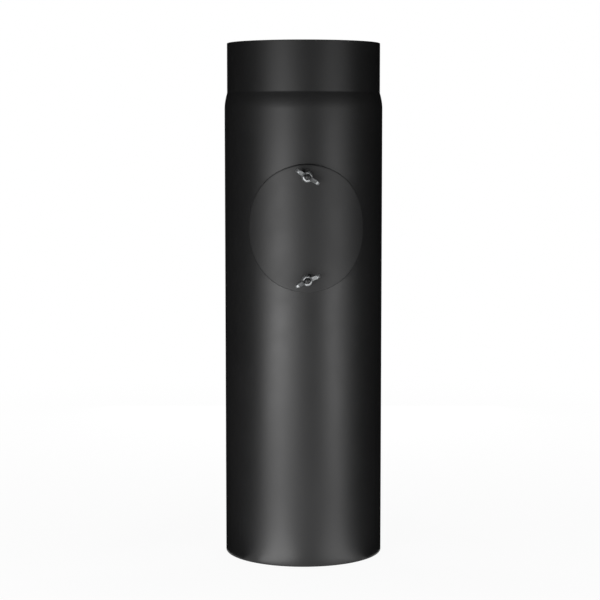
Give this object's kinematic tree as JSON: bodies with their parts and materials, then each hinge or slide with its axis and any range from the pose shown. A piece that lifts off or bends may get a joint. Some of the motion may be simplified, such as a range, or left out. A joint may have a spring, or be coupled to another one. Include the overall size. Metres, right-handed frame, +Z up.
{
  "type": "stove pipe with cleanout",
  "caption": "Straight black stove pipe with a swaged spigot at the top and a round curved cleanout cover, held on weld studs by wing nuts.",
  "frame": {"origin": "centre of the bottom rim, on the pipe's axis", "axes": "+Z up the pipe to the spigot, the cleanout faces -Y, +X to the right seen from the front"},
  "size_m": [0.154, 0.1718, 0.5],
  "materials": {
    "black_paint": "matt heat-resistant paint with a fine grain",
    "zinc_steel": "satin zinc plating",
    "gasket_fibre": "matt fibre felt"
  },
  "bodies": {
    "pipe_body": {"pipe": "black_paint", "upper_stud": "black_paint", "lower_stud": "black_paint"},
    "cover": {"cleanout_cover": "black_paint", "cover_gasket": "gasket_fibre"},
    "upper_washer": {"upper_washer": "zinc_steel"},
    "lower_washer": {"lower_washer": "zinc_steel"},
    "upper_nut": {"upper_wing_nut": "zinc_steel"},
    "lower_nut": {"lower_wing_nut": "zinc_steel"}
  },
  "joints": [
    {"name": "cover_lift_off", "type": "slide", "parent": "pipe_body", "child": "cover", "axis": [0, -1, 0], "range_m": [0, 0.08]},
    {"name": "upper_nut_travel", "type": "slide", "parent": "cover", "child": "upper_washer", "axis": [0, -1, 0], "range_m": [0, 0.0097]},
    {"name": "upper_nut_turn", "type": "hinge", "parent": "upper_washer", "child": "upper_nut", "pos_m": [0, -0.0812, 0.3725], "axis": [0, -1, 0], "range_deg": [0, 4320]},
    {"name": "lower_nut_travel", "type": "slide", "parent": "cover", "child": "lower_washer", "axis": [0, -1, 0], "range_m": [0, 0.0097]},
    {"name": "lower_nut_turn", "type": "hinge", "parent": "lower_washer", "child": "lower_nut", "pos_m": [0, -0.0812, 0.2755], "axis": [0, -1, 0], "range_deg": [0, 4320]}
  ],
  "couplings": [
    {"joint": "upper_nut_travel", "follows": "upper_nut_turn", "m_per_rad": 0.00012732},
    {"joint": "lower_nut_travel", "follows": "lower_nut_turn", "m_per_rad": 0.00012732}
  ]
}
